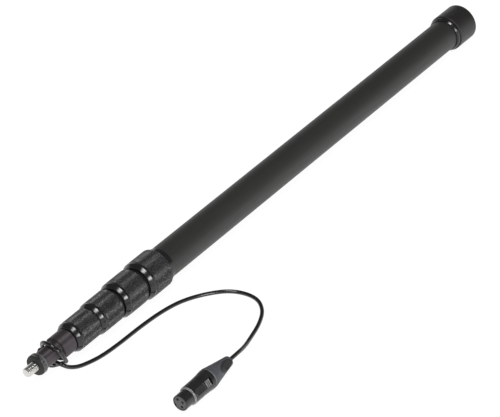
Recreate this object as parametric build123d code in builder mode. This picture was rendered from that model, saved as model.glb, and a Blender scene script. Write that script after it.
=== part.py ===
from build123d import *
import os
from math import cos, pi, radians, sin, tan

# A five-section telescopic boom pole with an internal coiled cable, pushed together and lying
# on a surface, with its short microphone lead looped round the neck and laid out beside it.
# Millimetres. +X runs along the pole to the microphone end, +Z is up, and the origin is on the
# surface under the middle of the pole. Along the pole, "station" is the distance from the
# face of the connector in the butt, which the end cap's rim stands round.

os.makedirs("parts", exist_ok=True)

# Driving dimensions
CAP_RIM = -1.6  # stations of the pole's two ends when it is pushed together
STUD_END = 738.8
TRAVEL = 514.0  # of each of the four sliding sections
TUBE_OD = 33.5  # the grip tube's outside
TUBE_STEP = 3.3  # each tube is this much smaller outside than the one round it
WALL = 1.0
NOSES = (576.5, 612.0, 646.7, 679.4)  # stations of the collars' front ends
COLLAR_REARS = (545.0, 580.8, 615.5, 647.6)
COLLAR_RADII = (20.2, 18.75, 16.8, 15.35)
BUTT_R = 20.2
NECK_R = 8.68
TIP_R = 12.1
STUD_R = 9.525 / 2  # the 3/8 inch 16 tpi microphone thread
CORD_R = 2.0
XLR_NOSE_R = 8.0  # what a cable socket's nose measures
AXIS_Z = BUTT_R

# Clearances
SLIDE_GAP = 0.25  # between a tube and the collet or shoulder round it
BUSH_GAP = 0.2  # between a guide bush and the tube's bore
THREAD_GAP = 0.12  # between a collar and the thread that it turns on

STATION_0 = -368.0


def lying_plane(x, y, z, up=90):
    """Local x is +X and local y points away from the X axis at that angle above +Y."""
    normal = (0, -sin(radians(up)), cos(radians(up)))
    return Plane(origin=(x, y, z), x_dir=(1, 0, 0), z_dir=normal)


def facing_plane(x, y, z):
    """Looks along +X: local x is +Y and local y is +Z."""
    return Plane(origin=(x, y, z), x_dir=(0, 1, 0), z_dir=(1, 0, 0))


def axis_of(plane):
    return Axis(plane.origin, plane.x_dir)


POLE = lying_plane(STATION_0, 0, AXIS_Z)


def save(piece, label):
    piece.part.label = label
    export_step(piece.part, f"parts/{label}.step")


def turned(label, outline, plane=POLE):
    """A piece turned from an outline of (station, radius) points."""
    with BuildPart() as piece:
        with BuildSketch(plane):
            with BuildLine():
                Polyline(*outline, close=True)
            make_face()
        revolve(axis=axis_of(plane))
    save(piece, label)


def tube_r(section):
    return (TUBE_OD - TUBE_STEP * (section - 1)) / 2


def nose(stage):
    """Station of a collar's front end."""
    return NOSES[stage - 1]


# --- The five tubes ---------------------------------------------------------------------------
TUBE_END_BACK = 19.0  # a tube ends this far behind its collar's nose
STOP_ROOM = 0.5  # left between bush and shoulder when a section is fully out
BUSH_SKIRT = 16.0
GRIP_REAR = 9.0
TIP_TUBE_FRONT = 690.0


def tube_rear(section):
    if section == 1:
        return GRIP_REAR
    return nose(section - 1) - TUBE_END_BACK - STOP_ROOM - TRAVEL - BUSH_SKIRT


def tube_front(section):
    if section == 5:
        return TIP_TUBE_FRONT
    return nose(section) - TUBE_END_BACK


for section in range(1, 6):
    r = tube_r(section)
    a, b = tube_rear(section), tube_front(section)
    turned(f"tube_{section}", [(a, r - WALL), (a, r), (b, r), (b, r - WALL)])

# --- Guide bushes at the rear of the sliding tubes ----------------------------------------------
BUSH_LIP = 2.0

for section in range(2, 6):
    r = tube_r(section)
    back = tube_rear(section)
    outer = tube_r(section - 1) - WALL - BUSH_GAP
    turned(
        f"guide_bush_{section}",
        [
            (back - BUSH_LIP, r - 2.2),
            (back - BUSH_LIP, outer - 0.4),
            (back - BUSH_LIP + 0.8, outer),
            (back + BUSH_SKIRT, outer),
            (back + BUSH_SKIRT, r),
            (back, r),
            (back, r - 2.2),
        ],
    )

# --- The four lock stages: ferrule, collet, knurled collar and nose ring -------------------------
FERRULE_LIP = 0.6  # the plain lip stands this far proud of its tube
THREAD_STEP = 1.35  # and the thread this far
FERRULE_REARS = (538.0, 577.2, 612.6, 647.2)
REAR_CHAMFER = 0.7
NOSE_RING = 6.0  # length of the smooth ring at the front of a collar
NOSE_BEVEL = 4.1
NOSE_DROP = 2.25
NOSE_EASE = 0.5
COLLET_SLOT = 1.2

for stage in range(1, 5):
    n = nose(stage)
    outer_tube = tube_r(stage)
    inner_tube = tube_r(stage + 1)
    thread_r = outer_tube + THREAD_STEP
    collar_r = COLLAR_RADII[stage - 1]
    collar_rear = COLLAR_REARS[stage - 1]
    ferrule_rear = FERRULE_REARS[stage - 1]
    shoulder_r = inner_tube + SLIDE_GAP

    turned(
        f"ferrule_{stage}",
        [
            (ferrule_rear, outer_tube),
            (ferrule_rear, outer_tube + FERRULE_LIP - 0.2),
            (ferrule_rear + 0.2, outer_tube + FERRULE_LIP),
            (collar_rear + 0.6, outer_tube + FERRULE_LIP),
            (collar_rear + 1.4, thread_r),
            (n - 11.7, thread_r),
            (n - 11.2, thread_r - 0.5),
            (n - 11.2, inner_tube + 1.9),
            (n - 16.5, inner_tube + 0.8),
            (n - 16.5, shoulder_r),
            (n - TUBE_END_BACK, shoulder_r),
            (n - TUBE_END_BACK, outer_tube),
        ],
    )

    with BuildPart() as collet:
        with BuildSketch(POLE):
            with BuildLine():
                Polyline(
                    (n - 16.2, shoulder_r),
                    (n - 16.2, inner_tube + 0.75),
                    (n - 11.0, inner_tube + 1.8),
                    (n - 11.0, inner_tube + 2.7),
                    (n - 8.4, inner_tube + 2.7),
                    (n - 6.6, inner_tube + 1.2),
                    (n - 6.6, shoulder_r),
                    close=True,
                )
            make_face()
        revolve(axis=axis_of(POLE))
        with BuildSketch(facing_plane(STATION_0 + n - 14.0, 0, AXIS_Z)):
            Rectangle(2 * collar_r, COLLET_SLOT)
            Rectangle(COLLET_SLOT, 2 * collar_r)
        extrude(amount=10, mode=Mode.SUBTRACT)
    save(collet, f"collet_{stage}")

    bore_r = thread_r + THREAD_GAP
    turned(
        f"collar_{stage}",
        [
            (collar_rear, bore_r),
            (collar_rear, collar_r - REAR_CHAMFER),
            (collar_rear + REAR_CHAMFER, collar_r),
            (n - NOSE_RING, collar_r),
            (n - NOSE_RING, inner_tube + 1.7),
            (n - 6.4, inner_tube + 1.7),
            (n - 8.1, inner_tube + 3.05),
            (n - 10.6, inner_tube + 3.05),
            (n - 10.6, bore_r),
        ],
    )
    turned(
        f"nose_ring_{stage}",
        [
            (n - NOSE_RING - 0.3, inner_tube + 0.5),
            (n - NOSE_RING - 0.3, inner_tube + 1.65),
            (n - NOSE_RING, inner_tube + 1.65),
            (n - NOSE_RING, collar_r - 0.12),
            (n - NOSE_BEVEL, collar_r - 0.12),
            (n - NOSE_EASE, collar_r - NOSE_DROP),
            (n, collar_r - NOSE_DROP - NOSE_EASE),
            (n, inner_tube + 0.5),
        ],
    )

# --- The butt: ferrule, seal, end cap and the output connector -----------------------------------
FERRULE_R = TUBE_OD / 2
CAP_THREAD_R = FERRULE_R + 1.1
RING_R = 19.0
RING_REAR = 29.3
RING_BEVEL = 31.5
RING_FRONT = 33.3
RING_DROP = 1.1
CAP_FRONT = 28.7
CAP_BEVEL = 0.8
SOCKET_R = 8.15  # the well that a cable socket's nose goes into
SOCKET_BACK = 14.5
PIN_R = 1.2
PIN_CIRCLE_R = 3.9
FLANGE_R = 16.9
FLANGE_FACE = 0.4
CAP_WALL = 8.0
RIM_ROUND = 1.2
SHELL_R = 11.0

turned(
    "butt_ferrule",
    [
        (GRIP_REAR, FERRULE_R),
        (GRIP_REAR, CAP_THREAD_R),
        (RING_REAR, CAP_THREAD_R),
        (RING_REAR, RING_R),
        (RING_BEVEL, RING_R),
        (RING_FRONT - 0.1, RING_R - RING_DROP),
        (RING_FRONT, RING_R - RING_DROP - 0.2),
        (RING_FRONT, FERRULE_R),
    ],
)

SEAL_R = 18.7
turned(
    "cap_seal",
    [
        (CAP_FRONT, CAP_THREAD_R),
        (CAP_FRONT, SEAL_R),
        (RING_REAR, SEAL_R),
        (RING_REAR, CAP_THREAD_R),
    ],
)

SCREW_CIRCLE_R = 14.0
SCREW_R = 1.5
SCREW_HEAD_R = 2.7
SCREW_LENGTH = 7.0
SCREW_PLACES = [(0, -SCREW_CIRCLE_R), (0, SCREW_CIRCLE_R)]

with BuildPart() as end_cap:
    with BuildSketch(POLE):
        with BuildLine():
            Line((CAP_RIM, FLANGE_R + 0.1), (CAP_RIM, BUTT_R - RIM_ROUND))
            ThreePointArc(
                (CAP_RIM, BUTT_R - RIM_ROUND),
                (CAP_RIM + RIM_ROUND * (1 - cos(pi / 4)), BUTT_R - RIM_ROUND * (1 - sin(pi / 4))),
                (CAP_RIM + RIM_ROUND, BUTT_R),
            )
            Polyline(
                (CAP_RIM + RIM_ROUND, BUTT_R),
                (CAP_FRONT - CAP_BEVEL, BUTT_R),
                (CAP_FRONT, BUTT_R - CAP_BEVEL),
                (CAP_FRONT, CAP_THREAD_R + 0.05),
                (CAP_WALL, CAP_THREAD_R + 0.05),
                (CAP_WALL, SHELL_R + 0.05),
                (2.0, SHELL_R + 0.05),
                (2.0, FLANGE_R + 0.1),
                (CAP_RIM, FLANGE_R + 0.1),
            )
        make_face()
    revolve(axis=axis_of(POLE))
    with BuildSketch(facing_plane(STATION_0, 0, AXIS_Z)):
        with Locations(*SCREW_PLACES):
            Circle(SCREW_R - 0.05)
    extrude(amount=SCREW_LENGTH + 0.8, mode=Mode.SUBTRACT)
save(end_cap, "end_cap")

with BuildPart() as output_shell:
    with BuildSketch(POLE):
        with BuildLine():
            Polyline(
                (FLANGE_FACE, SOCKET_R + 0.5),
                (FLANGE_FACE, FLANGE_R),
                (2.0, FLANGE_R),
                (2.0, SHELL_R),
                (22.0, SHELL_R),
                (22.0, SOCKET_R),
                (FLANGE_FACE + 0.5, SOCKET_R),
                close=True,
            )
        make_face()
    revolve(axis=axis_of(POLE))
    with BuildSketch(facing_plane(STATION_0 + FLANGE_FACE, 0, AXIS_Z)):
        with Locations(*SCREW_PLACES):
            Circle(SCREW_HEAD_R + 0.05)
    extrude(amount=1.6, taper=40, mode=Mode.SUBTRACT)
    with BuildSketch(facing_plane(STATION_0 + FLANGE_FACE, 0, AXIS_Z)):
        with Locations(*SCREW_PLACES):
            Circle(SCREW_R + 0.05)
    extrude(amount=1.6, mode=Mode.SUBTRACT)
save(output_shell, "output_shell")

with BuildPart() as output_screws:
    with BuildSketch(facing_plane(STATION_0 + FLANGE_FACE, 0, AXIS_Z)):
        with Locations(*SCREW_PLACES):
            Circle(SCREW_HEAD_R)
    extrude(amount=1.4, taper=40)
    with BuildSketch(facing_plane(STATION_0 + FLANGE_FACE, 0, AXIS_Z)):
        with Locations(*SCREW_PLACES):
            Circle(SCREW_R - 0.1)
    extrude(amount=SCREW_LENGTH)
    with BuildSketch(facing_plane(STATION_0 + FLANGE_FACE, 0, AXIS_Z)):
        with Locations(*SCREW_PLACES):
            Rectangle(2.4, 0.5)
            Rectangle(0.5, 2.4)
    extrude(amount=0.8, mode=Mode.SUBTRACT)
save(output_screws, "output_screws")


def pin_places(radius):
    return PolarLocations(radius, 3, start_angle=90)


with BuildPart() as output_insert:
    with BuildSketch(facing_plane(STATION_0 + SOCKET_BACK, 0, AXIS_Z)):
        Circle(SOCKET_R - 0.05)
        with pin_places(PIN_CIRCLE_R):
            Circle(PIN_R + 0.05, mode=Mode.SUBTRACT)
    extrude(amount=7)
save(output_insert, "output_insert")

PIN_TIP = 3.2
PIN_TAIL = 25.2
with BuildPart() as output_pins:
    with BuildSketch(facing_plane(STATION_0 + PIN_TIP, 0, AXIS_Z)):
        with pin_places(PIN_CIRCLE_R):
            Circle(PIN_R)
    extrude(amount=PIN_TAIL - PIN_TIP)
    chamfer(output_pins.edges().group_by(Axis.X)[0], 0.4)
save(output_pins, "output_pins")

# --- The tip: body with neck, stud, flange, washer and set screw ---------------------------------
TIP_REAR = 680.2
TIP_FRONT = 696.6
NECK_END = 719.8
FLANGE_END = 725.0
WASHER_END = 726.4
TIP_FLANGE_R = 10.35
STUD_REAR = 716.4
SHANK_R = STUD_R - 0.6  # the stud's plain shank, inside the neck and the flange
SET_SCREW_AT = 686.0

# The cable leaves the neck sideways. Its passage lies in a plane across the pole, a little above
# the axis, and drops towards -Y.
EXIT_AT = 707.4
EXIT_DROP = 20.0
EXIT_OFFSET = 3.6


def on_exit_line(distance):
    """A point on the passage's line, as (x, y, z), that far from the point nearest the axis."""
    a = radians(EXIT_DROP)
    y = -EXIT_OFFSET * sin(a) - distance * cos(a)
    z = EXIT_OFFSET * cos(a) - distance * sin(a)
    return (STATION_0 + EXIT_AT, y, AXIS_Z + z)


def exit_plane(distance):
    """Across the passage's line, facing outwards."""
    a = radians(EXIT_DROP)
    return Plane(origin=on_exit_line(distance), x_dir=(1, 0, 0), z_dir=(0, -cos(a), -sin(a)))


CORD_START = 3.2  # along the passage's line, where the inner lead becomes the outer one
GROMMET_R = 3.5
GROMMET_IN = 5.4
GROMMET_OUT = 9.4

TAIL = [
    (STATION_0 + 677.0, 0, AXIS_Z),
    (STATION_0 + 697.0, 0, AXIS_Z),
    on_exit_line(-1.6),
    on_exit_line(CORD_START),
]
TAIL_RADII = (16.0, 4.0)

with BuildPart() as cable_tail:
    with BuildLine() as tail_path:
        FilletPolyline(*TAIL, radius=TAIL_RADII)
    with BuildSketch(Plane(origin=tail_path.line @ 0, z_dir=tail_path.line % 0)):
        Circle(CORD_R)
    sweep()
save(cable_tail, "cable_tail")

with BuildPart() as tip_body:
    with BuildSketch(POLE):
        with BuildLine():
            Polyline(
                (TIP_REAR, tube_r(5)),
                (TIP_REAR, TIP_R - 0.4),
                (TIP_REAR + 0.4, TIP_R),
                (TIP_FRONT - 0.6, TIP_R),
                (TIP_FRONT, TIP_R - 0.6),
                (TIP_FRONT, NECK_R + 0.6),
                (TIP_FRONT + 0.6, NECK_R),
                (NECK_END, NECK_R),
                (NECK_END, SHANK_R),
                (STUD_REAR, SHANK_R),
                (STUD_REAR, 0),
                (TIP_TUBE_FRONT + 0.2, 0),
                (TIP_TUBE_FRONT + 0.2, tube_r(5)),
                close=True,
            )
        make_face()
    revolve(axis=axis_of(POLE))
    with BuildLine() as passage:
        FilletPolyline(*TAIL[1:3], on_exit_line(14), radius=TAIL_RADII[1])
    with BuildSketch(Plane(origin=passage.line @ 0, z_dir=passage.line % 0)):
        Circle(CORD_R + 0.3)
    sweep(mode=Mode.SUBTRACT)
    with BuildSketch(facing_plane(STATION_0 + TIP_TUBE_FRONT, 0, AXIS_Z)):
        Circle(3.4)
    extrude(amount=9.5, mode=Mode.SUBTRACT)
    with BuildSketch(exit_plane(GROMMET_IN)):
        Circle(GROMMET_R)
    extrude(amount=8, mode=Mode.SUBTRACT)
    with BuildSketch(Plane(origin=(STATION_0 + SET_SCREW_AT, 0, AXIS_Z - 8), z_dir=(0, 0, -1))):
        Circle(1.5)
    extrude(amount=8, mode=Mode.SUBTRACT)
save(tip_body, "tip_body")

with BuildPart() as exit_grommet:
    with BuildSketch(exit_plane(GROMMET_IN)):
        Circle(GROMMET_R)
        Circle(CORD_R, mode=Mode.SUBTRACT)
    extrude(amount=GROMMET_OUT - GROMMET_IN)
    outer_rim = exit_grommet.edges().filter_by(GeomType.CIRCLE).sort_by(SortBy.RADIUS)[-2:]
    fillet(outer_rim.sort_by(Axis.Y)[0], 0.8)
save(exit_grommet, "exit_grommet")

with BuildPart() as tip_set_screw:
    with BuildSketch(Plane(origin=(STATION_0 + SET_SCREW_AT, 0, AXIS_Z - 10.2), z_dir=(0, 0, -1))):
        Circle(1.45)
    extrude(amount=1.7)
    with BuildSketch(Plane(origin=(STATION_0 + SET_SCREW_AT, 0, AXIS_Z - 11.9), z_dir=(0, 0, 1))):
        RegularPolygon(0.8, 6)
    extrude(amount=1.1, mode=Mode.SUBTRACT)
save(tip_set_screw, "tip_set_screw")

turned(
    "stud_flange",
    [
        (NECK_END, SHANK_R),
        (NECK_END, TIP_FLANGE_R - 0.4),
        (NECK_END + 0.4, TIP_FLANGE_R),
        (FLANGE_END - 0.3, TIP_FLANGE_R),
        (FLANGE_END, TIP_FLANGE_R - 0.3),
        (FLANGE_END, SHANK_R),
    ],
)
turned(
    "stud_washer",
    [
        (FLANGE_END, SHANK_R),
        (FLANGE_END, TIP_FLANGE_R - 0.5),
        (WASHER_END - 0.4, TIP_FLANGE_R - 0.5),
        (WASHER_END, TIP_FLANGE_R - 0.9),
        (WASHER_END, SHANK_R),
    ],
)
turned(
    "mic_stud",
    [
        (STUD_REAR, 0),
        (STUD_REAR, SHANK_R),
        (WASHER_END, SHANK_R),
        (WASHER_END, STUD_R),
        (STUD_END - 0.9, STUD_R),
        (STUD_END, STUD_R - 0.9),
        (STUD_END, 0),
    ],
)

# --- The inner cable: a coil that stretches, and its fixed lead to the output ---------------------
COIL_R = 6.5
COIL_BORE_R = 2.4
COIL_REAR = tube_rear(5) + 1.0
COIL_FRONT = TAIL[0][0] - STATION_0
turned(
    "coiled_cable",
    [
        (COIL_REAR, COIL_BORE_R),
        (COIL_REAR, COIL_R),
        (COIL_FRONT, COIL_R),
        (COIL_FRONT, COIL_BORE_R),
    ],
)
BASE_LEAD_REAR = PIN_TAIL + 0.2
BASE_LEAD_FRONT = COIL_REAR - 0.5
with BuildPart() as base_lead:
    with BuildSketch(facing_plane(STATION_0 + BASE_LEAD_REAR, 0, AXIS_Z)):
        Circle(CORD_R)
    extrude(amount=BASE_LEAD_FRONT - BASE_LEAD_REAR)
save(base_lead, "base_lead")

# --- The cable socket on the lead's end -----------------------------------------------------------
XLR_X = STATION_0 + 682.0  # the nose's face
XLR_Y = 131.0
XLR_Z = 10.55  # it lies on the widest part of its shell
LATCH_UP = 37.0  # the latch's angle above +Y
XLR = lying_plane(XLR_X, XLR_Y, XLR_Z)
LATCH = lying_plane(XLR_X, XLR_Y, XLR_Z, LATCH_UP)
SLOT_FRONT = -15.0
SLOT_REAR = -37.2
SLOT_WIDTH = 7.0
SHELL_BACK = -41.5
RING_BACK = -43.7
CHUCK_END = -59.0
BOOT_END = -75.5

# Each contact's place on the nose's face: towards the latch, and across.
CONTACTS = [(-0.6, -4.1), (-0.6, 4.1), (3.3, 0)]
FACE = Plane(origin=XLR.origin, x_dir=LATCH.y_dir, z_dir=(-1, 0, 0))

with BuildPart() as xlr_shell:
    with BuildSketch(XLR):
        with BuildLine():
            Polyline(
                (0, 7.2),
                (0, XLR_NOSE_R - 0.4),
                (-0.4, XLR_NOSE_R),
                (-11.2, XLR_NOSE_R),
                (-11.4, 8.7),
                (-12.6, 9.6),
                (-27.5, 9.6),
                (-35.0, 9.95),
                (-40.3, 10.5),
                (SHELL_BACK, 10.5),
                (SHELL_BACK, 8.4),
                (-11.4, 8.0),
                (-11.0, 7.2),
                close=True,
            )
        make_face()
    revolve(axis=axis_of(XLR))
    with BuildSketch(LATCH):
        with Locations(((SLOT_FRONT + SLOT_REAR) / 2, 9.5)):
            Rectangle(SLOT_FRONT - SLOT_REAR, 5)
    extrude(amount=SLOT_WIDTH / 2, both=True, mode=Mode.SUBTRACT)
save(xlr_shell, "xlr_shell")

INSERT_FACE = 0.4
with BuildPart() as xlr_insert:
    with BuildSketch(FACE.offset(INSERT_FACE)):
        Circle(7.15)
        with Locations(*CONTACTS):
            Circle(1.4, mode=Mode.SUBTRACT)
    extrude(amount=2)
    with BuildSketch(FACE.offset(INSERT_FACE + 2)):
        Circle(7.15)
        with Locations(*CONTACTS):
            Circle(1.75, mode=Mode.SUBTRACT)
    extrude(amount=20)
    with BuildSketch(FACE.offset(INSERT_FACE)):
        with Locations((-6.6, 0)):
            Rectangle(1.6, 2.4)
    extrude(amount=8, mode=Mode.SUBTRACT)
save(xlr_insert, "xlr_insert")

with BuildPart() as xlr_contacts:
    with BuildSketch(FACE.offset(INSERT_FACE + 2.2)):
        with Locations(*CONTACTS):
            Circle(1.7)
    extrude(amount=29)
    with BuildSketch(FACE.offset(INSERT_FACE + 2.2)):
        with Locations(*CONTACTS):
            Circle(PIN_R + 0.02)
    extrude(amount=14, mode=Mode.SUBTRACT)
save(xlr_contacts, "xlr_contacts")

LATCH_WIDTH = 6.4
PIVOT_AT = -16.0
PIVOT_UP = 8.3  # from the connector's axis
RIDGES = 3
RIDGE_PITCH = 2.1
with BuildPart() as xlr_latch:
    with BuildSketch(LATCH):
        with BuildLine():
            Polyline(
                (PIVOT_AT, PIVOT_UP - 0.4),
                (PIVOT_AT, PIVOT_UP + 0.4),
                (-27.0, PIVOT_UP + 0.4),
                (-28.0, 9.5),
                (-35.4, 9.7),
                (-36.4, 9.0),
                (-36.4, PIVOT_UP - 0.4),
                close=True,
            )
        make_face()
        for ridge in range(RIDGES):
            with Locations((-29.6 - RIDGE_PITCH * ridge, 9.8)):
                Rectangle(1.1, 1.0)
        with Locations((PIVOT_AT, PIVOT_UP)):
            Circle(0.4)
    extrude(amount=LATCH_WIDTH / 2, both=True)
save(xlr_latch, "xlr_latch")

turned(
    "xlr_ring",
    [
        (SHELL_BACK, 8.0),
        (SHELL_BACK, 9.9),
        (RING_BACK, 9.9),
        (RING_BACK, 8.0),
    ],
    XLR,
)
turned(
    "xlr_chuck",
    [
        (-37.4, CORD_R),
        (-37.4, 7.6),
        (-46.0, 7.6),
        (CHUCK_END, 3.6),
        (CHUCK_END, CORD_R),
    ],
    XLR,
)

DISH_FRONT = -59.6
DISH_REAR = BOOT_END + 1.6
DISH_WIDTH = 6.8
DISH_FLOOR = 4.9  # from the connector's axis
DISH = Plane(origin=XLR.origin + LATCH.y_dir * DISH_FLOOR, x_dir=(1, 0, 0), z_dir=LATCH.y_dir)
with BuildPart() as xlr_boot:
    with BuildSketch(XLR):
        with BuildLine():
            Polyline(
                (-39.5, 8.0),
                (-39.5, 7.6),
                (-46.0, 7.6),
                (CHUCK_END - 0.2, 3.6),
                (CHUCK_END - 0.2, CORD_R),
                (BOOT_END, CORD_R),
                (BOOT_END, 3.0),
            )
            ThreePointArc((BOOT_END, 3.0), (BOOT_END + 0.9, 4.5), (BOOT_END + 3.0, 5.3))
            Spline((BOOT_END + 3.0, 5.3), (-61.5, 7.1), (-51.5, 8.9), (-43.9, 10.35))
            Polyline((-43.9, 10.35), (RING_BACK, 10.1), (RING_BACK, 8.0), (-39.5, 8.0))
        make_face()
    revolve(axis=axis_of(XLR))
    with BuildSketch(DISH):
        with Locations(((DISH_FRONT + DISH_REAR) / 2, 0)):
            SlotOverall(DISH_FRONT - DISH_REAR, DISH_WIDTH)
    extrude(amount=6, mode=Mode.SUBTRACT)
save(xlr_boot, "xlr_boot")

CORD_IN_BOOT = 6.4  # the free part of the lead ends here, and the rest is held by the chuck
with BuildPart() as xlr_cord_end:
    with BuildSketch(facing_plane(XLR_X + BOOT_END + CORD_IN_BOOT, XLR_Y, XLR_Z)):
        Circle(CORD_R)
    extrude(amount=34)
save(xlr_cord_end, "xlr_cord_end")

# --- The lead: out of the neck, once round it, then along the surface to the socket ---------------
# Stations, y and z of the route's points. It goes down behind the neck and under it, up over the
# front, down behind again, under the neck and across its own loop to the surface.
ROUTE_ROUND_NECK = [
    (707.9, -12.0, 12.0),
    (706.4, -5.8, 6.8),
    (702.5, -0.8, 4.2),
    (697.6, 1.6, 2.4),
    (693.4, 4.5, 2.8),
    (692.9, 9.1, 6.7),
    (699.5, 14.3, 16.1),
    (703.3, 11.7, 26.3),
    (705.8, 4.1, 31.9),
    (705.6, -4.6, 31.9),
    (702.9, -11.0, 27.1),
    (700.3, -12.5, 19.2),
    (699.7, -9.6, 11.9),
    (700.8, -2.2, 8.5),
    (702.8, 5.2, 10.0),
    (700.9, 11.5, 9.8),
]
ROUTE_ON_SURFACE = [
    (695.9, 13.5, 5.2),
    (689.4, 16.8, 2.5),
    (682.0, 20.4, CORD_R),
    (664.0, 25.8, CORD_R),
    (638.0, 27.8, CORD_R),
    (608.0, 28.2, CORD_R),
    (577.0, 30.6, CORD_R),
    (552.0, 36.4, CORD_R),
    (528.0, 50.4, CORD_R),
    (511.6, 67.0, CORD_R),
    (507.4, 90.0, CORD_R),
    (519.0, 106.5, CORD_R),
    (539.0, 116.2, CORD_R),
    (561.0, 121.6, CORD_R),
    (577.6, 127.0, 5.4),
]
BOOT_MOUTH = (XLR_X + BOOT_END, XLR_Y, XLR_Z)
ROUTE = [
    on_exit_line(CORD_START),
    on_exit_line(11.0),
    *[(STATION_0 + x, y, z) for x, y, z in ROUTE_ROUND_NECK],
    *[(STATION_0 + x, y, z) for x, y, z in ROUTE_ON_SURFACE],
    (BOOT_MOUTH[0] - 11.0, XLR_Y, XLR_Z),
    (BOOT_MOUTH[0] + CORD_IN_BOOT, XLR_Y, XLR_Z),
]


def corner_radii(points):
    """Each corner's arc is as large as its two runs allow."""
    radii = []
    for before, here, after in zip(points, points[1:], points[2:]):
        arriving = Vector(*here) - Vector(*before)
        leaving = Vector(*after) - Vector(*here)
        half_turn = radians(arriving.get_angle(leaving)) / 2
        radii.append(0.45 * min(arriving.length, leaving.length) / tan(half_turn))
    return radii


CORD_RADII = corner_radii(ROUTE)
with BuildPart() as cord:
    with BuildLine() as cord_path:
        FilletPolyline(*ROUTE, radius=CORD_RADII)
    with BuildSketch(Plane(origin=cord_path.line @ 0, z_dir=cord_path.line % 0)):
        Circle(CORD_R)
    sweep()
save(cord, "cord")

cord_length = sum(edge.length for edge in cord_path.line.edges())
runs = [(Vector(*b) - Vector(*a)).length for a, b in zip(ROUTE, ROUTE[1:])]
print("cord length", round(cord_length, 1), "mm, route", round(sum(runs), 1), "mm")
print("cord volume over section times length", round(cord.part.volume / (pi * CORD_R**2 * cord_length), 4))
print("cord radii", [round(r, 1) for r in CORD_RADII])
print("cord runs", [round(r, 1) for r in runs])
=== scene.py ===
"""The looks of a telescopic boom pole that lies on a pale floor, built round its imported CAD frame."""

from math import ceil, cos, pi, radians, sin

import bmesh
import bpy
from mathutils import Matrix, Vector


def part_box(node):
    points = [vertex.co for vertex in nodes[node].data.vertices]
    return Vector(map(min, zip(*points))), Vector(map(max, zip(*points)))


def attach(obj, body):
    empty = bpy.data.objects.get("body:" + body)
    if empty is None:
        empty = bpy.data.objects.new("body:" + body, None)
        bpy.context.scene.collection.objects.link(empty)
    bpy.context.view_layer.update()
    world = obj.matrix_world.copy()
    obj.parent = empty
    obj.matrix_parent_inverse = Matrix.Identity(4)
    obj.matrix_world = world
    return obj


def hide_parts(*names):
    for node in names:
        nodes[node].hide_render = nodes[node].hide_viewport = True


MM = 0.001

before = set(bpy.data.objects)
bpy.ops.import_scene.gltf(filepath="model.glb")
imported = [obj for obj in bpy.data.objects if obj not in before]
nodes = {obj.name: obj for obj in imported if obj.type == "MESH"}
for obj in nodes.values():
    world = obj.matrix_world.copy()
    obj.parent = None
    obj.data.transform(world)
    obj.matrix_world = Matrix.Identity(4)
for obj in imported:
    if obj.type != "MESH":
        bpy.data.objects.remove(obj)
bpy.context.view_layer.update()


# ---------------------------------------------------------------------------------------------
# Places, from the frame
# ---------------------------------------------------------------------------------------------
def centre(node):
    low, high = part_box(node)
    return (low + high) / 2


def radius_of(node):
    """Of a piece turned about a line along X."""
    low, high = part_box(node)
    return (high.z - low.z) / 2


def rear(node):
    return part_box(node)[0].x


def front(node):
    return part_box(node)[1].x


AXIS_Z = centre("tube_1").z
OUTPUT_SET_IN = 0.4 * MM  # how far inside the butt's end the output shell's face lies
STATION_0 = rear("output_shell") - OUTPUT_SET_IN  # distances along the pole are from here
XLR_CENTRE = centre("xlr_ring")
XLR_FACE = front("xlr_shell")
LATCH_UP = radians(37)  # the latch's angle above +Y, seen along the connector
LATCH_DIRECTION = (0, cos(LATCH_UP), sin(LATCH_UP))
LATCH_ACROSS = (0, -sin(LATCH_UP), cos(LATCH_UP))
STAGES = range(1, 5)  # the locking collars, from the grip tube forwards


# ---------------------------------------------------------------------------------------------
# Mesh helpers
# ---------------------------------------------------------------------------------------------
def add_mesh(name, points, faces, smooth_below=30):
    """A mesh object with outward faces, smooth except at edges sharper than that angle."""
    mesh = bpy.data.meshes.new(name)
    mesh.from_pydata(points, [], faces)
    shape = bmesh.new()
    shape.from_mesh(mesh)
    bmesh.ops.recalc_face_normals(shape, faces=shape.faces)
    shape.to_mesh(mesh)
    shape.free()
    mesh.shade_smooth()
    mesh.set_sharp_from_angle(angle=radians(smooth_below))
    piece = bpy.data.objects.new(name, mesh)
    bpy.context.scene.collection.objects.link(piece)
    return piece


EASED_SHARE = 0.42  # the most of an edge that the rounding of one corner takes


def eased(outline, radius, steps=3):
    """The closed outline with its corners rounded."""
    points = [Vector(p) for p in outline]
    result = []
    for i, corner in enumerate(points):
        before, after = points[i - 1] - corner, points[(i + 1) % len(points)] - corner
        reach = min(radius, EASED_SHARE * before.length, EASED_SHARE * after.length)
        start, end = corner + before.normalized() * reach, corner + after.normalized() * reach
        for step in range(steps + 1):
            t = step / steps
            result.append((1 - t) ** 2 * start + 2 * t * (1 - t) * corner + t * t * end)
    return [tuple(p) for p in result]


def ring_points(x, radius, angles):
    """Round the pole's axis."""
    return [(x, radius * cos(a), AXIS_Z + radius * sin(a)) for a in angles]


def even_angles(count):
    return [2 * pi * i / count for i in range(count)]


def band(first, second, count):
    """Quads between two rings of the same number of points, which start at those indices."""
    around = [(i, (i + 1) % count) for i in range(count)]
    return [(first + i, first + j, second + j, second + i) for i, j in around]


def turned(name, outline, segments=144):
    """A closed ring turned about the pole's axis, from a closed outline of (x, radius) points."""
    angles = even_angles(segments)
    points, faces = [], []
    for x, radius in outline:
        points += ring_points(x, radius, angles)
    for i in range(len(outline)):
        j = (i + 1) % len(outline)
        faces += band(i * segments, j * segments, segments)
    return add_mesh(name, points, faces)


# ---------------------------------------------------------------------------------------------
# Material helpers
# ---------------------------------------------------------------------------------------------
NOISE_ROUGHNESS = 0.55


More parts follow.
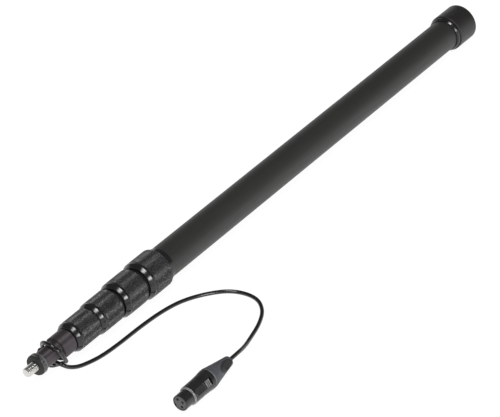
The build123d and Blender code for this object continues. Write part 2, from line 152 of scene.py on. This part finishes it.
class Finish:
    """A material round one Principled shader, with short ways to add procedural detail.

    Lengths are in metres of the frame, and the scale of a noise is in cells per metre.
    """

    def __init__(self, name, **sockets):
        self.material = bpy.data.materials.new(name)
        self.material.use_nodes = True
        self.tree = self.material.node_tree
        self.shader = self.tree.nodes["Principled BSDF"]
        self.coordinates = self.node("ShaderNodeTexCoord").outputs["Object"]
        for socket, value in sockets.items():
            self.shader.inputs[socket.replace("_", " ")].default_value = value

    def node(self, kind, **values):
        made = self.tree.nodes.new(kind)
        for key, value in values.items():
            setattr(made, key, value)
        return made

    def link(self, source, target):
        self.tree.links.new(source, target)

    def noise(self, scale, detail, stretch=(1, 1, 1)):
        """Noise whose scale is multiplied by the stretch on each axis."""
        noise = self.node("ShaderNodeTexNoise")
        noise.inputs["Scale"].default_value = scale
        noise.inputs["Detail"].default_value = detail
        noise.inputs["Roughness"].default_value = NOISE_ROUGHNESS
        mapping = self.node("ShaderNodeMapping")
        mapping.inputs["Scale"].default_value = stretch
        self.link(self.coordinates, mapping.inputs["Vector"])
        self.link(mapping.outputs["Vector"], noise.inputs["Vector"])
        return noise.outputs["Fac"]

    def ramp(self, source, *stops):
        """Colours or grey levels at places from 0 to 1."""
        ramp = self.node("ShaderNodeValToRGB")
        while len(ramp.color_ramp.elements) < len(stops):
            ramp.color_ramp.elements.new(0.5)
        for element, (place, colour) in zip(ramp.color_ramp.elements, stops):
            element.position = place
            level = colour if hasattr(colour, "__len__") else (colour,) * 3
            element.color = (*level, 1)
        self.link(source, ramp.inputs["Fac"])
        return ramp.outputs["Color"]

    def mottle(self, dark, light, scale, detail, start=0.3, end=0.7, stretch=(1, 1, 1)):
        """Patches of two tones, which blend as the noise goes from start to end."""
        return self.ramp(self.noise(scale, detail, stretch), (start, dark), (end, light))

    def spread(self, source, low, high, start=0.3, end=0.7):
        """A value from low to high as the source goes from start to end."""
        spread = self.node("ShaderNodeMapRange")
        limits = {"From Min": start, "From Max": end, "To Min": low, "To Max": high}
        for socket, value in limits.items():
            spread.inputs[socket].default_value = value
        self.link(source, spread.inputs["Value"])
        return spread.outputs["Result"]

    def along(self, origin, direction):
        """Distance from a point of the frame in one direction."""
        offset = self.node("ShaderNodeVectorMath", operation="SUBTRACT")
        offset.inputs[1].default_value = origin
        self.link(self.coordinates, offset.inputs[0])
        dot = self.node("ShaderNodeVectorMath", operation="DOT_PRODUCT")
        dot.inputs[1].default_value = direction
        self.link(offset.outputs["Vector"], dot.inputs[0])
        return dot.outputs["Value"]

    def compute(self, operation, *terms):
        """One arithmetic step on sources and constants."""
        step = self.node("ShaderNodeMath", operation=operation)
        for socket, term in zip(step.inputs, terms):
            if isinstance(term, (int, float)):
                socket.default_value = term
            else:
                self.link(term, socket)
        return step.outputs["Value"]

    def near(self, source, middle, reach):
        """1 where the source is that close to the middle, and 0 elsewhere."""
        return self.compute("COMPARE", source, middle, reach)

    def blend(self, mask, first, second):
        """The first colour where the mask is 0, the second where it is 1."""
        mix = self.node("ShaderNodeMix", data_type="RGBA")
        # By number, because the colour sockets share their names with those of other types
        factor, colour_a, colour_b = mix.inputs[0], mix.inputs[6], mix.inputs[7]
        for source, socket in ((mask, factor), (first, colour_a), (second, colour_b)):
            self.link(source, socket)
        return mix.outputs[2]

    def colour(self, source):
        self.link(source, self.shader.inputs["Base Color"])

    def rough(self, source):
        self.link(source, self.shader.inputs["Roughness"])

    def bump(self, source, depth):
        """Relief of that depth in metres."""
        bump = self.node("ShaderNodeBump")
        bump.inputs["Distance"].default_value = depth
        bump.inputs["Strength"].default_value = 1.0
        self.link(source, bump.inputs["Height"])
        self.link(bump.outputs["Normal"], self.shader.inputs["Normal"])


def wear(*pieces, finish):
    """Gives that finish, and no other, to pieces or to CAD nodes by name."""
    for piece in pieces:
        piece = nodes[piece] if isinstance(piece, str) else piece
        piece.data.materials.clear()
        piece.data.materials.append(finish.material)


def grain_finish(name, dark, light, roughness, grain_scale, grain_depth):
    """A plain solid finish: colour mottled between two tones, fine grain, uneven gloss."""
    finish = Finish(name)
    finish.colour(finish.mottle(dark, light, 60, 4))
    finish.rough(finish.spread(finish.noise(140, 3), roughness - 0.05, roughness + 0.06))
    finish.bump(finish.noise(grain_scale, 2), grain_depth)
    return finish


def machined_finish(name, dark, light, roughness, drawn_out=0.0, **sockets):
    """Turned metal: faint rings, and highlights that can be drawn out across them."""
    finish = Finish(name, **sockets)
    finish.colour(finish.mottle(dark, light, 45, 4))
    finish.rough(finish.spread(finish.noise(90, 3), roughness - 0.04, roughness + 0.05))
    finish.bump(finish.noise(2600, 2, stretch=(1, 0.004, 0.004)), 4e-6)
    finish.shader.inputs["Anisotropic"].default_value = drawn_out
    finish.shader.inputs["Anisotropic Rotation"].default_value = 0.25  # a quarter turn
    around = finish.node("ShaderNodeTangent", direction_type="RADIAL", axis="X")
    finish.link(around.outputs["Tangent"], finish.shader.inputs["Tangent"])
    return finish


# ---------------------------------------------------------------------------------------------
# Materials
# ---------------------------------------------------------------------------------------------
def tube_finish():
    """Satin black skin, drawn along its length."""
    finish = Finish("satin_tube", Specular_IOR_Level=0.6)
    dark, light = (0.0205, 0.0202, 0.0185), (0.0265, 0.0262, 0.0240)
    finish.colour(finish.mottle(dark, light, 26, 5, stretch=(0.25, 1, 1)))
    finish.rough(finish.spread(finish.noise(420, 2, stretch=(0.05, 1, 1)), 0.48, 0.58))
    finish.bump(finish.noise(2400, 2, stretch=(0.06, 1, 1)), 3e-6)
    return finish


def knurl_finish():
    """Black anodised knurling, with light specks painted in as glints of the facets."""
    finish = Finish("knurled_aluminium", Specular_IOR_Level=0.6, Metallic=0.3)
    # The light specks are painted glints of the knurl's facets.
    painted_glints = finish.noise(950, 2)
    finish.colour(finish.ramp(painted_glints, (0.40, 0.011), (0.53, 0.026), (0.66, 0.14)))
    finish.rough(finish.spread(finish.noise(700, 3), 0.26, 0.42))
    finish.bump(finish.noise(1000, 3), 75e-6)
    return finish


def gloss_ring_finish():
    """Smooth glossy black of the nose rings and ferrules."""
    finish = Finish("gloss_ring", Specular_IOR_Level=0.6)
    finish.colour(finish.mottle(0.008, 0.013, 90, 3))
    finish.rough(finish.spread(finish.noise(200, 3), 0.15, 0.24))
    finish.bump(finish.noise(900, 2), 2e-6)
    return finish


def nickel_finish():
    """Bright plating, a little warm."""
    finish = Finish("nickel", Metallic=1.0)
    finish.colour(finish.mottle((0.60, 0.59, 0.56), (0.72, 0.71, 0.68), 500, 4))
    finish.rough(finish.spread(finish.noise(1200, 3), 0.2, 0.32))
    finish.bump(finish.noise(6000, 2), 3e-6)
    return finish


def jacket_finish():
    """Glossy black cable jacket."""
    finish = Finish("cord_jacket", Specular_IOR_Level=0.7)
    finish.colour(finish.mottle(0.008, 0.013, 120, 3))
    finish.rough(finish.spread(finish.noise(300, 3), 0.12, 0.19))
    finish.bump(finish.noise(1500, 2), 4e-6)
    return finish


EDGE_HIGHLIGHT_DEPTH = 0.7 * MM  # a painted highlight runs along the flange's rear edge to this depth


def flange_finish():
    """Scuffed black skin, rubbed grey in small patches, with a painted highlight along the rear edge.
    """
    finish = Finish("flange_scuffs_and_edge_highlight", Specular_IOR_Level=0.6)
    skin = finish.mottle(0.014, 0.12, 520, 4, start=0.40, end=0.60)
    # Painted highlight: a grey band along the rear edge.
    painted_edge_highlight = finish.mottle(0.22, 0.42, 800, 3)
    back = finish.along((rear("stud_flange"), 0, 0), (1, 0, 0))
    finish.colour(finish.blend(finish.near(back, 0, EDGE_HIGHLIGHT_DEPTH), skin, painted_edge_highlight))
    finish.rough(finish.spread(finish.noise(300, 3), 0.36, 0.5))
    finish.bump(finish.noise(2400, 3), 8e-6)
    return finish


DISH_SHADE_MIDDLE = 63.5 * MM  # of the shade painted in the boot's thumb dish, behind the socket's face
DISH_SHADE_HALF_LENGTH = 10.5 * MM
DISH_SHADE_HALF_WIDTH = 4.8 * MM


def boot_finish():
    """Bluish grey rubber, with shade painted dark in and round the thumb dish."""
    finish = Finish("boot_rubber", Specular_IOR_Level=0.35)
    skin = finish.mottle((0.068, 0.074, 0.086), (0.098, 0.104, 0.116), 420, 4)
    # Painted shade of the thumb dish's recess.
    painted_dish_shade = finish.mottle(0.022, (0.034, 0.034, 0.033), 300, 3)
    from_middle = finish.along((XLR_FACE - DISH_SHADE_MIDDLE, 0, 0), (1, 0, 0))
    lengthwise = finish.compute("DIVIDE", from_middle, DISH_SHADE_HALF_LENGTH)
    across = finish.compute("DIVIDE", finish.along(XLR_CENTRE, LATCH_ACROSS), DISH_SHADE_HALF_WIDTH)
    squares = [finish.compute("MULTIPLY", side, side) for side in (lengthwise, across)]
    # An oval with a soft edge. The sum of the squares is 1 on its outline.
    patch = finish.spread(finish.compute("ADD", *squares), 1, 0, start=0.85, end=1.1)
    upper = finish.compute("GREATER_THAN", finish.along(XLR_CENTRE, LATCH_DIRECTION), 0)
    finish.colour(finish.blend(finish.compute("MULTIPLY", patch, upper), skin, painted_dish_shade))
    finish.rough(finish.spread(finish.noise(140, 3), 0.5, 0.62))
    finish.bump(finish.noise(2600, 2), 20e-6)
    return finish


# Bands where the black plating is drawn lighter: the middle and half the width of each, in mm
# behind the cable socket's face. The shoulder's band is a painted highlight.
SHOULDER_HIGHLIGHT_BAND = [(12.0, 0.75)]
LIGHT_RIDGE_BANDS = [(29.6, 0.6), (31.7, 0.6), (33.8, 0.6)]


def shell_finish(name, light_bands):
    """Black plated metal, drawn lighter in those bands round the cable socket."""
    finish = Finish(name, Specular_IOR_Level=0.7)
    skin = finish.mottle(0.009, 0.018, 260, 4)
    # Lighter tone of the bands: a painted highlight on the shoulder, lighter ridge tops on the latch.
    light_tone = finish.mottle(0.16, 0.34, 700, 3, start=0.35, end=0.65)
    back = finish.along((XLR_FACE, 0, 0), (-1, 0, 0))
    mask = 0.0
    for middle, reach in light_bands:
        mask = finish.compute("MAXIMUM", mask, finish.near(back, middle * MM, reach * MM))
    finish.colour(finish.blend(mask, skin, light_tone))
    finish.rough(finish.spread(finish.noise(180, 3), 0.26, 0.38))
    finish.bump(finish.noise(2600, 2), 6e-6)
    return finish


FINISHES = {
    "tube": tube_finish(),
    "knurl": knurl_finish(),
    "ring": gloss_ring_finish(),
    "nickel": nickel_finish(),
    "jacket": jacket_finish(),
    "cap": machined_finish("satin_cap", (0.013, 0.012, 0.011), (0.018, 0.017, 0.016), 0.46),
    "tip": machined_finish(
        "turned_tip", (0.085, 0.074, 0.080), (0.115, 0.100, 0.108), 0.5, drawn_out=0.85, Metallic=0.7
    ),
    "flange": flange_finish(),
    "rubber": grain_finish("black_rubber", 0.014, 0.022, 0.65, 3000, 12e-6),
    "boot": boot_finish(),
    "shell": shell_finish("shell_skin", SHOULDER_HIGHLIGHT_BAND),
    "rim": grain_finish("grey_rim", (0.13, 0.135, 0.145), (0.20, 0.205, 0.215), 0.4, 1800, 8e-6),
    "latch": shell_finish("latch_skin", LIGHT_RIDGE_BANDS),
    "plastic": grain_finish("moulded_black", 0.020, 0.032, 0.42, 1800, 8e-6),
    "insert": grain_finish("insert_grey", 0.045, 0.10, 0.45, 1800, 8e-6),
    "acetal": grain_finish("acetal", (0.55, 0.54, 0.50), (0.68, 0.67, 0.63), 0.45, 1500, 8e-6),
    "bush": grain_finish("bush_plastic", 0.07, 0.10, 0.5, 1500, 8e-6),
    "gold": machined_finish(
        "gold_contacts", (0.78, 0.56, 0.22), (0.88, 0.68, 0.32), 0.22, Metallic=1.0
    ),
    "screw": machined_finish("black_steel", 0.10, 0.18, 0.34, Metallic=1.0),
}

# ---------------------------------------------------------------------------------------------
# Locking collars: knurled bodies and smooth bevelled nose rings
# ---------------------------------------------------------------------------------------------
KNURL_PITCH = 0.95 * MM  # across the diamonds, round the collar
KNURL_STRETCH = 1.25  # their length over their width
KNURL_DEPTH = 0.24 * MM
KNURL_TOP = 0.34  # the flat top's share of a diamond
KNURL_MARGIN = 0.7 * MM  # plain band in front of the knurling
REAR_CHAMFER = 0.7 * MM
BAND_DROP = 0.1 * MM  # the step from the knurling's rims to the plain surfaces beside them
THREAD_GAP = 0.12 * MM  # between a collar and the ferrule that it turns on
# Inside a collar: radii over the tube that slides in it, and distances behind its nose
SEAT_OVER, CHAMBER_OVER = 1.7 * MM, 3.05 * MM
CONE_FRONT, CONE_REAR, CHAMBER_REAR = 6.4 * MM, 8.1 * MM, 10.6 * MM
# A nose ring: radii over that tube, distances behind the nose, and drops from its full radius
RING_BORE_OVER, SPIGOT_OVER = 0.5 * MM, 1.65 * MM
SPIGOT_REAR, RING_REAR = 6.3 * MM, 6.0 * MM
BEVEL_REAR, BEVEL_FRONT = 4.1 * MM, 0.5 * MM
BEVEL_DROP, FACE_DROP = 2.13 * MM, 2.63 * MM
RING_EASE = 0.3 * MM


class Knurl:
    """Diamonds with flat tops on a cylinder about the pole's axis. Each lies between V grooves."""

    def __init__(self, low, high, radius):
        self.across = round(2 * pi * radius / KNURL_PITCH)
        self.rows = 2 * round((high - low) / (KNURL_PITCH * KNURL_STRETCH))
        self.low, self.high, self.radius = low, high, radius
        self.points, self.faces = [], []
        self.corners = {}
        self.rims = {0: [], self.rows: []}
        self.fill()

    def point(self, row, column, drop):
        """Adds a point at a place given in half diamonds, and returns its index."""
        angle = pi * column / self.across
        x = self.low + (self.high - self.low) * row / self.rows
        r = self.radius - drop
        self.points.append((x, r * cos(angle), AXIS_Z + r * sin(angle)))
        return len(self.points) - 1

    def corner(self, row, column):
        key = (row, column % (2 * self.across))
        if key not in self.corners:
            self.corners[key] = self.point(*key, KNURL_DEPTH)
        return self.corners[key]

    def fill(self):
        for row in range(self.rows + 1):
            for column in range(2 * self.across):
                if (row + column) % 2:
                    self.diamond(row, column)
                elif row in self.rims:
                    self.rims[row].append((column, self.corner(row, column)))
        for rim in self.rims.values():
            rim.sort()

    def diamond(self, row, column):
        """Four sloping sides and a flat top. A diamond on a rim is half of one."""
        ways = [(0, -1), (1, 0), (0, 1), (-1, 0)]
        ways = [w for w in ways if 0 <= row + w[0] <= self.rows]
        if len(ways) == 3:
            ways = [(0, -1), (1 if row == 0 else -1, 0), (0, 1)]
        foot = [self.corner(row + r, column + c) for r, c in ways]
        top = [self.point(row + KNURL_TOP * r, column + KNURL_TOP * c, 0) for r, c in ways]
        self.faces.append(tuple(top))
        sides = len(ways) if len(ways) == 4 else 2
        for i in range(sides):
            j = (i + 1) % len(ways)
            self.faces.append((foot[i], foot[j], top[j], top[i]))
        if len(ways) == 3:
            self.rims[row] += [(column - KNURL_TOP, top[0]), (column + KNURL_TOP, top[2])]


def knurled_collar(stage):
    """The knurl's surface, closed by the rest of the collar's outline turned about the axis."""
    low, nose = rear(f"collar_{stage}"), front(f"nose_ring_{stage}")
    high = front(f"collar_{stage}")
    radius = radius_of(f"collar_{stage}")
    bore = radius_of(f"ferrule_{stage}") + THREAD_GAP
    inner = radius_of(f"tube_{stage + 1}")
    knurl = Knurl(low + REAR_CHAMFER, high - KNURL_MARGIN, radius)
    angles = [pi * column / knurl.across for column, _ in knurl.rims[0]]
    count = len(angles)
    shoulder = radius - KNURL_DEPTH - BAND_DROP
    rest = [
        (high - KNURL_MARGIN + BAND_DROP, shoulder),
        (high, shoulder),
        (high, inner + SEAT_OVER),
        (nose - CONE_FRONT, inner + SEAT_OVER),
        (nose - CONE_REAR, inner + CHAMBER_OVER),
        (nose - CHAMBER_REAR, inner + CHAMBER_OVER),
        (nose - CHAMBER_REAR, bore),
        (low, bore),
        (low, radius - REAR_CHAMFER - BAND_DROP),
    ]
    points, faces = knurl.points, knurl.faces
    first = len(points)
    for x, r in rest:
        points += ring_points(x, r, angles)
    for i in range(len(rest) - 1):
        faces += band(first + i * count, first + (i + 1) * count, count)
    last = first + (len(rest) - 1) * count
    for rim, ring in ((knurl.rims[knurl.rows], first), (knurl.rims[0], last)):
        for i in range(count):
            j = (i + 1) % count
            faces.append((rim[i][1], rim[j][1], ring + j, ring + i))
    return add_mesh(f"knurled_collar_{stage}", points, faces, smooth_below=18)


def nose_ring(stage):
    nose = front(f"nose_ring_{stage}")
    radius = radius_of(f"nose_ring_{stage}")
    inner = radius_of(f"tube_{stage + 1}")
    outline = [
        (nose - SPIGOT_REAR, inner + RING_BORE_OVER),
        (nose - SPIGOT_REAR, inner + SPIGOT_OVER),
        (nose - RING_REAR, inner + SPIGOT_OVER),
        (nose - RING_REAR, radius),
        (nose - BEVEL_REAR, radius),
        (nose - BEVEL_FRONT, radius - BEVEL_DROP),
        (nose, radius - FACE_DROP),
        (nose, inner + RING_BORE_OVER),
    ]
    return turned(f"bevelled_nose_{stage}", eased(outline, RING_EASE))


for stage in STAGES:
    collar = knurled_collar(stage)
    ring = nose_ring(stage)
    pairs = ((collar, f"collar_{stage}", "knurl"), (ring, f"nose_ring_{stage}", "ring"))
    for piece, node, finish in pairs:
        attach(piece, f"collar_{stage}")
        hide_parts(node)
        wear(piece, finish=FINISHES[finish])

# ---------------------------------------------------------------------------------------------
# The microphone stud, with its 3/8 inch 16 tpi thread cut into it
# ---------------------------------------------------------------------------------------------
THREAD_PITCH = 25.4 * MM / 16
THREAD_DEPTH = 0.45 * MM
THREAD_FLANK = 2.2  # the flanks' rise over half a pitch, in thread depths
THREAD_PEAK = 1.7  # where the flanks would meet over the root, in thread depths, with no flat crest
STUD_CHAMFER = 0.9 * MM
SHANK_DROP = 0.6 * MM  # how much slimmer the plain shank inside the neck is


def threaded_stud(segments=96, rows_per_turn=14):
    """A plain shank up to the washer's front, and the thread from there to a chamfered end."""
    low, start, high = rear("mic_stud"), front("stud_washer"), front("mic_stud")
    radius = radius_of("mic_stud")
    angles = even_angles(segments)
    steps = ceil((high - start) / THREAD_PITCH * rows_per_turn)
    threaded = [start + (high - start) * step / steps for step in range(steps + 1)]
    shank = radius - SHANK_DROP
    points = ring_points(low, shank, angles) + ring_points(start, shank, angles)
    for x in threaded:
        for angle in angles:
            turn = (x / THREAD_PITCH + angle / (2 * pi)) % 1
            ridge = min(1.0, max(0.0, THREAD_PEAK - abs(2 * turn - 1) * THREAD_FLANK))
            r = radius - THREAD_DEPTH * (1 - ridge)
            r = min(r, radius - max(0.0, x - (high - STUD_CHAMFER)))
            points.append((x, r * cos(angle), AXIS_Z + r * sin(angle)))
    last = (len(threaded) + 1) * segments
    faces = []
    for row in range(len(threaded) + 1):
        faces += band(row * segments, (row + 1) * segments, segments)
    for ring, x in ((0, low), (last, high)):
        points.append((x, 0, AXIS_Z))
        middle = len(points) - 1
        faces += [(ring + i, ring + (i + 1) % segments, middle) for i in range(segments)]
    return add_mesh("threaded_stud", points, faces, smooth_below=45)


stud = threaded_stud()
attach(stud, "tip_section")
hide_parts("mic_stud")
wear(stud, finish=FINISHES["nickel"])

# ---------------------------------------------------------------------------------------------
# The lead
# ---------------------------------------------------------------------------------------------
CORD_R = 2.0 * MM
# Distance along the pole, y and z of each point of the route, in metres
OUT_OF_NECK = [
    (0.7074, -0.00424, 0.02249),
    (0.7074, -0.01157, 0.01982),
]
ROUND_NECK = [
    (0.7079, -0.0120, 0.0120),
    (0.7064, -0.0058, 0.0068),
    (0.7025, -0.0008, 0.0042),
    (0.6978, 0.0016, 0.0038),
    (0.6943, 0.0052, 0.0048),
    (0.6935, 0.0098, 0.0084),
    (0.6995, 0.0143, 0.0161),
    (0.7033, 0.0117, 0.0263),
    (0.7058, 0.0041, 0.0319),
    (0.7056, -0.0046, 0.0319),
    (0.7029, -0.0110, 0.0271),
    (0.7003, -0.0125, 0.0192),
    (0.6997, -0.0096, 0.0119),
    (0.7000, -0.0022, 0.0085),
    (0.7012, 0.0050, 0.0100),
    (0.7006, 0.0113, 0.0096),
]
ON_SURFACE = [
    (0.6959, 0.0135, 0.0052),
    (0.6894, 0.0168, 0.0025),
    (0.6820, 0.0204, CORD_R),
    (0.6640, 0.0258, CORD_R),
    (0.6380, 0.0278, CORD_R),
    (0.6080, 0.0282, CORD_R),
    (0.5770, 0.0306, CORD_R),
    (0.5520, 0.0364, CORD_R),
    (0.5280, 0.0504, CORD_R),
    (0.5116, 0.0670, CORD_R),
    (0.5074, 0.0900, CORD_R),
    (0.5190, 0.1065, CORD_R),
    (0.5390, 0.1162, CORD_R),
    (0.5610, 0.1216, CORD_R),
    (0.5776, 0.1270, 0.0054),
]
INTO_BOOT = [
    (0.5955, XLR_CENTRE.y, XLR_CENTRE.z),
    (0.6129, XLR_CENTRE.y, XLR_CENTRE.z),
]


def smooth_line(name, points, radius):
    """A round cord along one smooth curve that those points steer."""
    curve = bpy.data.curves.new(name, "CURVE")
    curve.dimensions = "3D"
    curve.bevel_depth = 1  # so that the radius of each point is the cord's own
    curve.bevel_resolution = 5
    curve.resolution_u = 12
    curve.use_fill_caps = True
    spline = curve.splines.new("NURBS")
    spline.points.add(len(points) - 1)
    for spot, (x, y, z) in zip(spline.points, points):
        spot.co = (STATION_0 + x, y, z, 1)
        spot.radius = radius
    spline.order_u = 3
    spline.use_endpoint_u = True
    piece = bpy.data.objects.new(name, curve)
    bpy.context.scene.collection.objects.link(piece)
    return piece


lead = smooth_line("lead", OUT_OF_NECK + ROUND_NECK + ON_SURFACE + INTO_BOOT, CORD_R)
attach(lead, "tip_section")
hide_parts("cord")
wear(lead, finish=FINISHES["jacket"])

# ---------------------------------------------------------------------------------------------
# Finishes of the CAD pieces that stay
# ---------------------------------------------------------------------------------------------
wear(*[f"tube_{k}" for k in range(1, 6)], finish=FINISHES["tube"])
wear("butt_ferrule", *[f"ferrule_{i}" for i in STAGES], finish=FINISHES["ring"])
wear(*[f"collet_{i}" for i in STAGES], finish=FINISHES["acetal"])
wear(*[f"guide_bush_{k}" for k in range(2, 6)], finish=FINISHES["bush"])
wear("end_cap", finish=FINISHES["cap"])
wear("tip_body", finish=FINISHES["tip"])
wear("stud_flange", finish=FINISHES["flange"])
wear("cap_seal", "exit_grommet", "stud_washer", finish=FINISHES["rubber"])
wear("output_shell", "xlr_shell", finish=FINISHES["shell"])
wear("xlr_latch", finish=FINISHES["latch"])
wear("output_insert", "xlr_chuck", finish=FINISHES["plastic"])
wear("xlr_insert", finish=FINISHES["insert"])
wear("xlr_boot", finish=FINISHES["boot"])
wear("xlr_ring", finish=FINISHES["rim"])
wear("output_pins", "xlr_contacts", finish=FINISHES["gold"])
wear("output_screws", "tip_set_screw", finish=FINISHES["screw"])
wear("base_lead", "cable_tail", "coiled_cable", "xlr_cord_end", finish=FINISHES["jacket"])


# ---------------------------------------------------------------------------------------------
# Floor, light and camera
# ---------------------------------------------------------------------------------------------
FLOOR_GLOW = 0.93  # keeps the floor nearly white where the lights fall off
LIGHTS_AIM = Vector((0.2, 0.0, 0.02))  # a point near the first collar
# Light from the world, by the height of a direction's unit vector
HORIZON_TOP, DIM_FROM = 0.1, 0.3
HORIZON_LIGHT, OVERHEAD_LIGHT = 0.97, 0.13
# The camera that the photo's perspective gives, with its length in mm and angles in degrees
FOCAL_LENGTH = 182.45
CAMERA_AT = (1.68242, 1.19433, 1.48703)
CAMERA_TILT, CAMERA_HEADING = 53.9524, 125.7723


def studio_floor(half=6.0):
    floor = add_mesh(
        "studio_floor",
        [(-half, -half, 0), (half, -half, 0), (half, half, 0), (-half, half, 0)],
        [(0, 1, 2, 3)],
    )
    finish = Finish("studio_floor", Roughness=0.9, Specular_IOR_Level=0.1)
    finish.colour(finish.mottle(0.20, 0.21, 1.5, 2))
    finish.shader.inputs["Emission Color"].default_value = (1, 1, 1, 1)
    finish.shader.inputs["Emission Strength"].default_value = FLOOR_GLOW
    wear(floor, finish=finish)


def softbox(name, direction, side, power, distance=5.0):
    """A square area light in that direction from the point that it faces."""
    light = bpy.data.lights.new(name, "AREA")
    light.shape = "RECTANGLE"
    light.size = light.size_y = side
    light.energy = power
    lamp = bpy.data.objects.new(name, light)
    bpy.context.scene.collection.objects.link(lamp)
    lamp.location = LIGHTS_AIM + Vector(direction).normalized() * distance
    lamp.rotation_euler = (LIGHTS_AIM - lamp.location).to_track_quat("-Z", "Y").to_euler()


def studio_air():
    """White at the horizon and dim overhead."""
    world = bpy.data.worlds.new("studio")
    world.use_nodes = True
    tree = world.node_tree
    direction = tree.nodes.new("ShaderNodeTexCoord").outputs["Generated"]
    height = tree.nodes.new("ShaderNodeSeparateXYZ")
    tree.links.new(direction, height.inputs["Vector"])
    fade = tree.nodes.new("ShaderNodeMapRange")
    limits = {
        "From Min": HORIZON_TOP,
        "From Max": DIM_FROM,
        "To Min": HORIZON_LIGHT,
        "To Max": OVERHEAD_LIGHT,
    }
    for socket, value in limits.items():
        fade.inputs[socket].default_value = value
    tree.links.new(height.outputs["Z"], fade.inputs["Value"])
    tree.links.new(fade.outputs["Result"], tree.nodes["Background"].inputs["Strength"])
    tree.nodes["Background"].inputs["Color"].default_value = (1, 1, 1, 1)
    bpy.context.scene.world = world


def photo_camera():
    camera = bpy.data.cameras.new("camera")
    camera.lens = FOCAL_LENGTH
    camera.sensor_width = 36.0
    camera.clip_end = 50
    eye = bpy.data.objects.new("camera", camera)
    eye.location = CAMERA_AT
    eye.rotation_euler = (radians(CAMERA_TILT), 0, radians(CAMERA_HEADING))
    bpy.context.scene.collection.objects.link(eye)
    bpy.context.scene.camera = eye


studio_floor()
# The directions put one bright spot of each light on the bevels of the nose rings
softbox("overhead_softbox", (0.298, 0.143, 0.9455), side=1.6, power=110)
softbox("side_softbox", (0.31, 0.832, 0.454), side=1.2, power=70)
studio_air()
photo_camera()
bpy.context.scene.view_settings.view_transform = "Standard"

bpy.context.view_layer.update()
